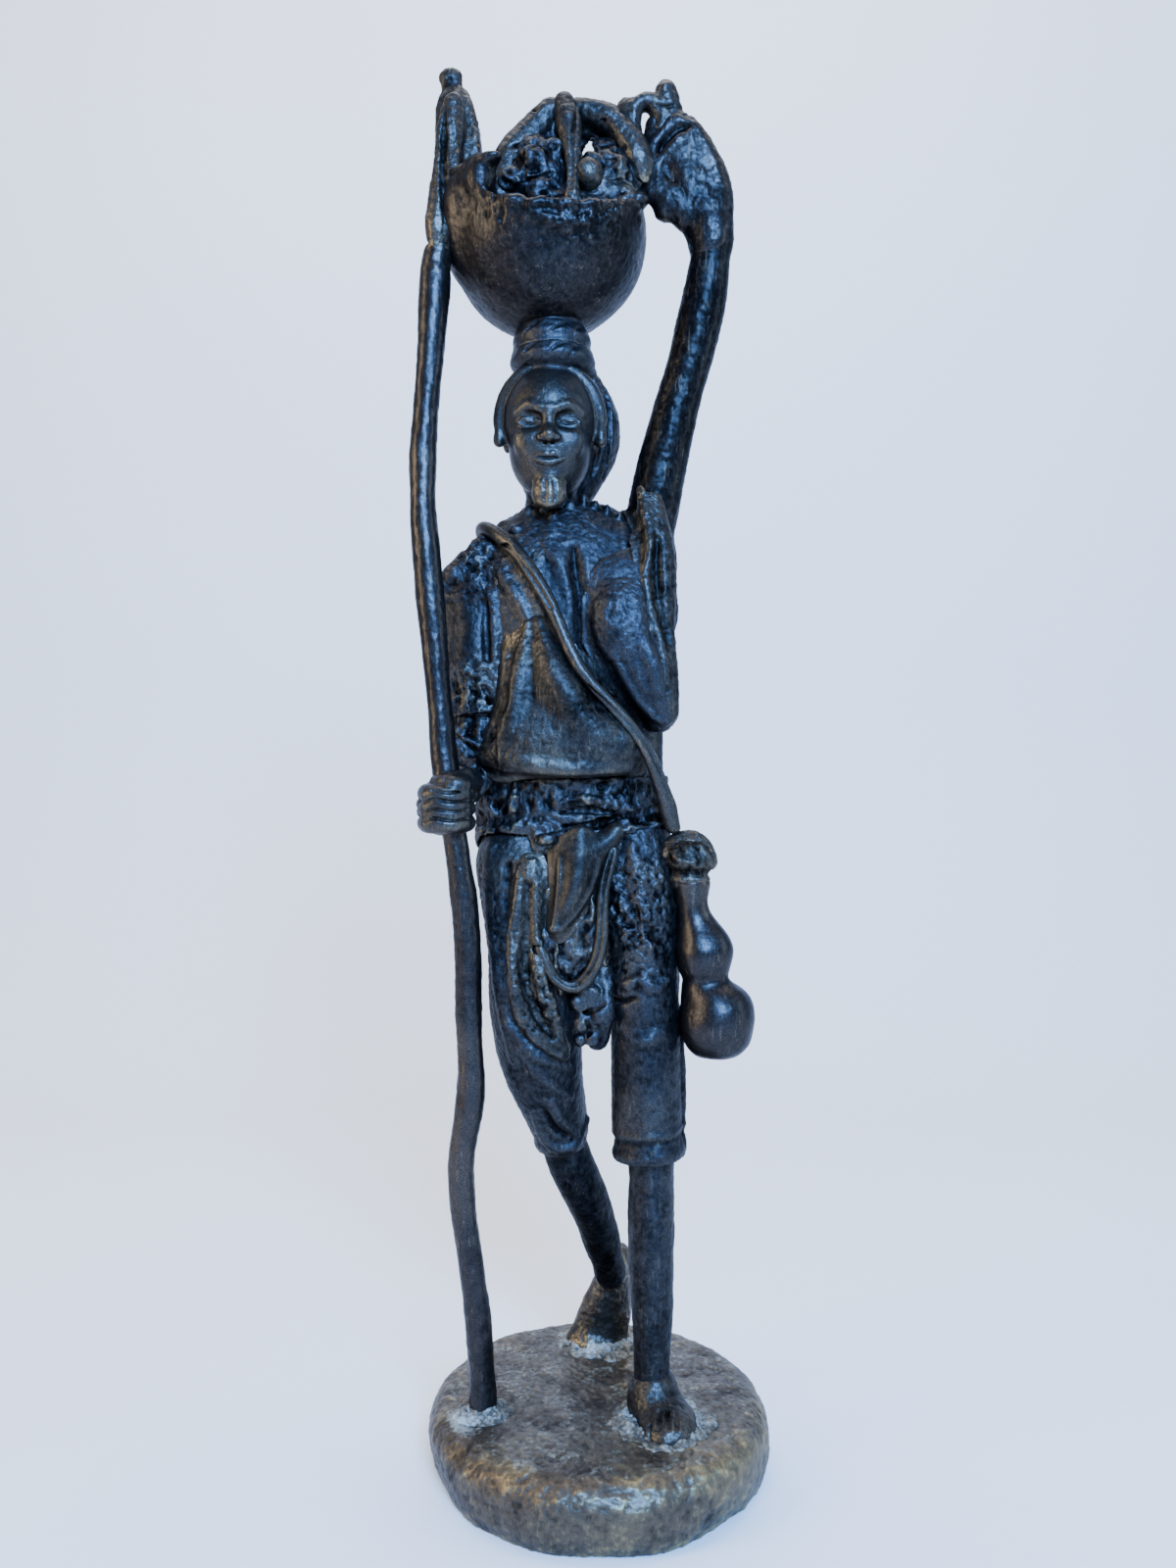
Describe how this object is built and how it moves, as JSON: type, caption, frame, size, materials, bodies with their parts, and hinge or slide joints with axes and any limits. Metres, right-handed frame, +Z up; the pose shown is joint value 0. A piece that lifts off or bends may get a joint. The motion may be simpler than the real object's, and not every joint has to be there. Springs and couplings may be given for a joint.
{
  "type": "figure trophy",
  "caption": "Cast bronze walking figure on a thick round base, holding a tall wavy staff and steadying a loaded calabash bowl on the head, with a double gourd flask at the hip.",
  "frame": {"origin": "centre of the base disc's flat underside", "axes": "+Z up along the figure, -Y the way the figure walks, +X to the viewer's right when the face is seen"},
  "size_m": [0.0895, 0.086, 0.3527],
  "materials": {
    "bronze_dark": "dark brown-black patina, matt and pitted",
    "bronze_worn": "dark patina worn through to olive-gold on the edges",
    "bronze_polished": "dark patina rubbed smooth by handling",
    "base_bronze": "mottled brown patina with a worn gold shoulder",
    "braze_filler": "rough pale grey-green braze"
  },
  "bodies": {
    "root": {"torso": "bronze_dark", "front_trouser": "bronze_dark", "rear_trouser": "bronze_dark", "waist_wrap": "bronze_dark", "tunic_breast": "bronze_dark", "apron_back": "bronze_dark", "crotch_knot": "bronze_dark", "lowered_sleeve": "bronze_dark", "rear_sleeve": "bronze_dark", "head_cloth": "bronze_dark", "pad_lower": "bronze_dark", "pad_upper": "bronze_dark", "load_back": "bronze_dark", "front_leg": "bronze_dark", "rear_leg": "bronze_dark", "neck": "bronze_dark", "lowered_forearm": "bronze_dark", "tunic_blouse": "bronze_worn", "apron_panel": "bronze_worn", "apron_loop": "bronze_worn", "thigh_flap": "bronze_worn", "shoulder_strap": "bronze_worn", "raised_sleeve": "bronze_worn", "staff_hand": "bronze_worn", "head": "bronze_worn", "beard": "bronze_worn", "head_band": "bronze_worn", "load_spine": "bronze_worn", "load_left_leaf": "bronze_worn", "load_right_leaf": "bronze_worn", "load_fruit": "bronze_worn", "raised_fingers": "bronze_worn", "staff_blade": "bronze_worn", "blade_fold": "bronze_worn", "gourd_collar": "bronze_worn", "gourd_loop": "bronze_worn", "front_foot": "bronze_worn", "rear_foot": "bronze_worn", "staff_shaft": "bronze_polished", "raised_arm": "bronze_polished", "raised_hand": "bronze_polished", "bowl": "bronze_polished", "gourd": "bronze_polished", "base_disc": "base_bronze", "braze_fillets": "braze_filler"}
  },
  "joints": []
}
